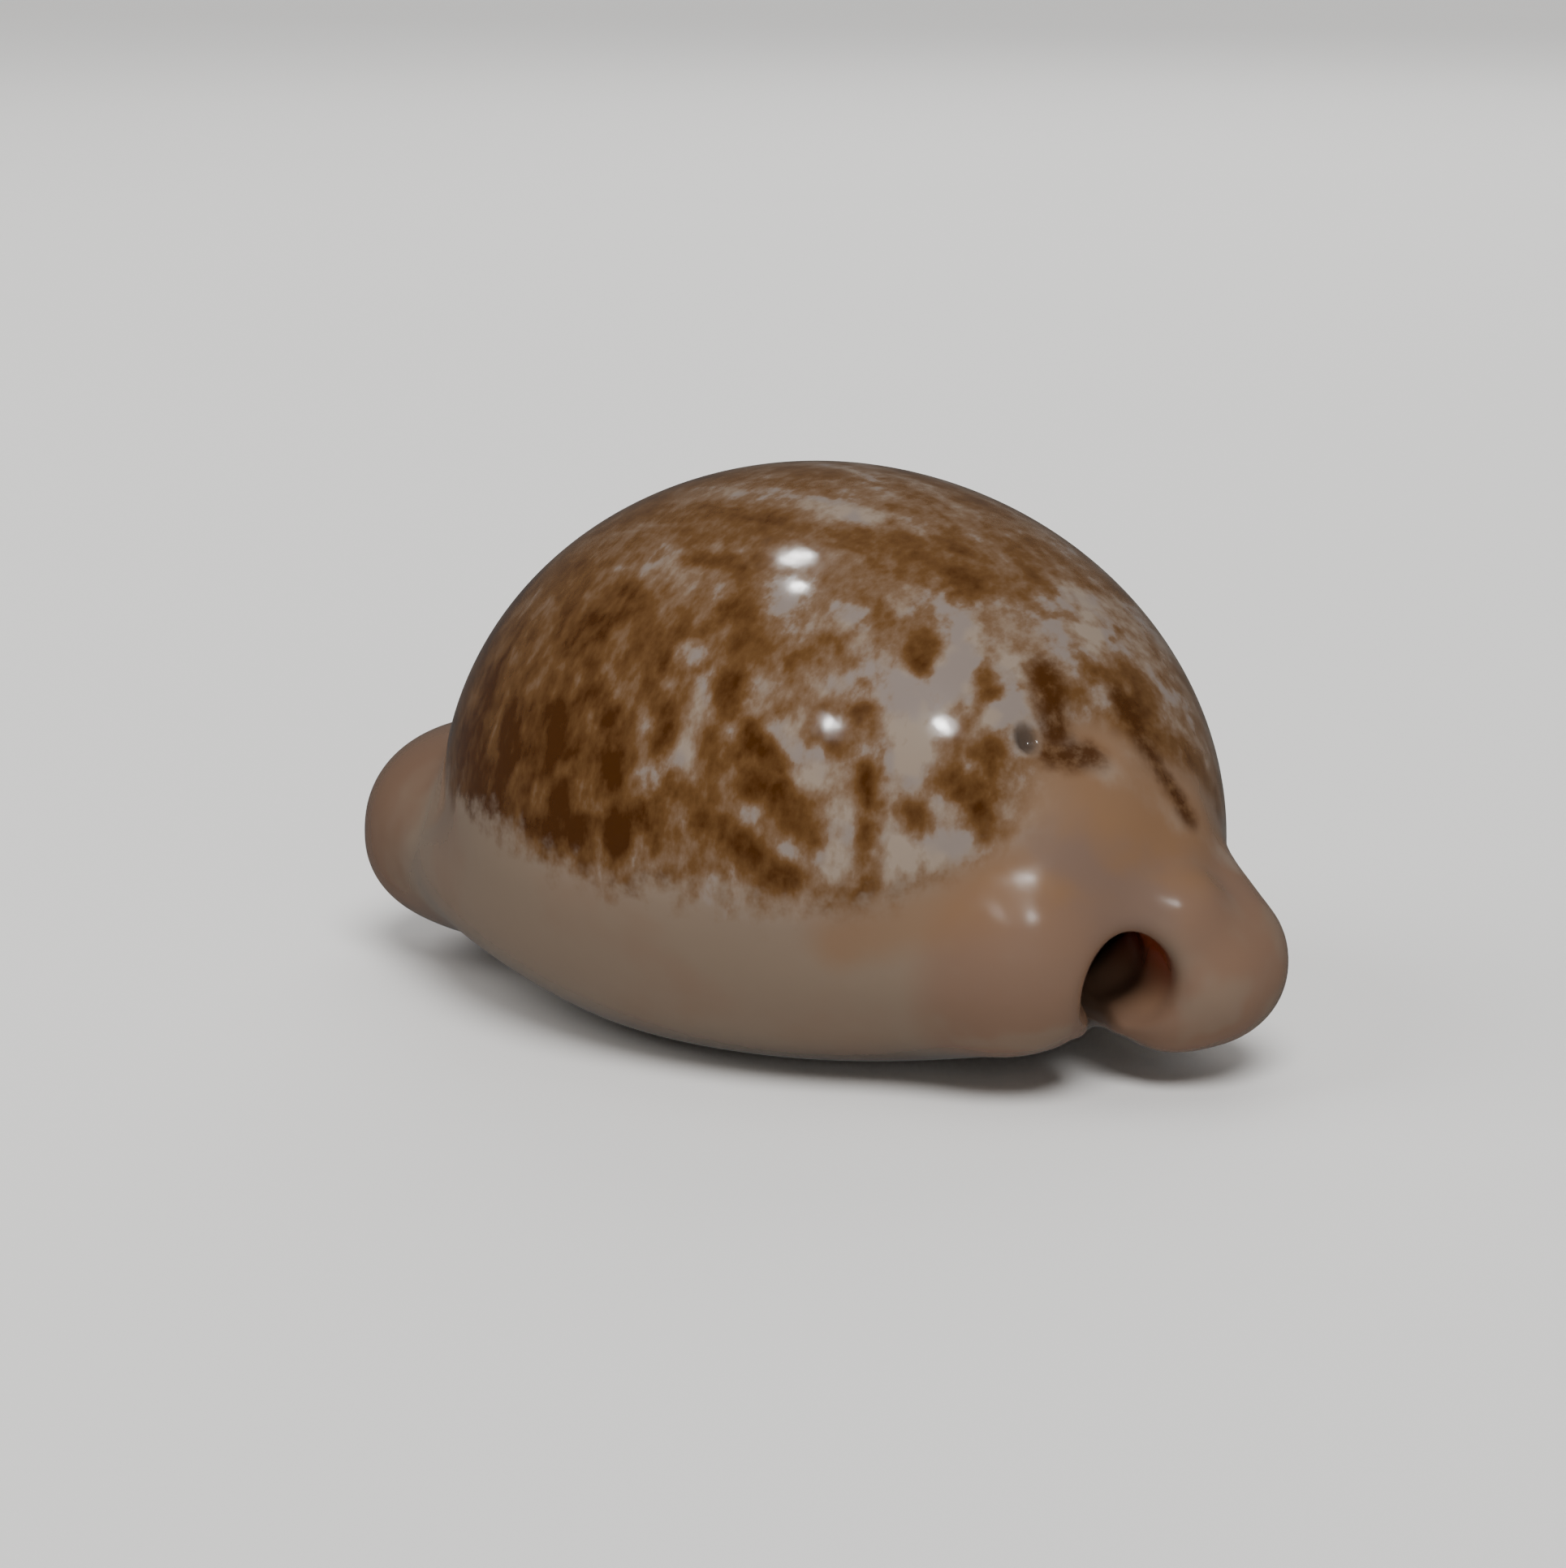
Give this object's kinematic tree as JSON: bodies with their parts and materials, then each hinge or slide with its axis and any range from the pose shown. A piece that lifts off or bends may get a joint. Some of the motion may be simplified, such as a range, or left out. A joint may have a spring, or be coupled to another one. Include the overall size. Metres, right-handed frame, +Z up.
{
  "type": "cowrie shell",
  "caption": "Egg-shaped cowrie shell with a high dome, a low beak, a spout-like snout, a toothed aperture along its base and a small pit above the snout.",
  "frame": {"origin": "centre of the bounding box in plan, on the plane that the shell rests on", "axes": "+X along the shell towards the snout (posterior) end, -Y towards the inner-lip side, +Z up from the resting base"},
  "size_m": [0.0986, 0.0658, 0.051],
  "materials": {
    "glazed_shell": "glossy cream glaze with brown blotches on the dome, tan at the snout and beak, pale base"
  },
  "bodies": {
    "root": {"shell": "glazed_shell"}
  },
  "joints": []
}
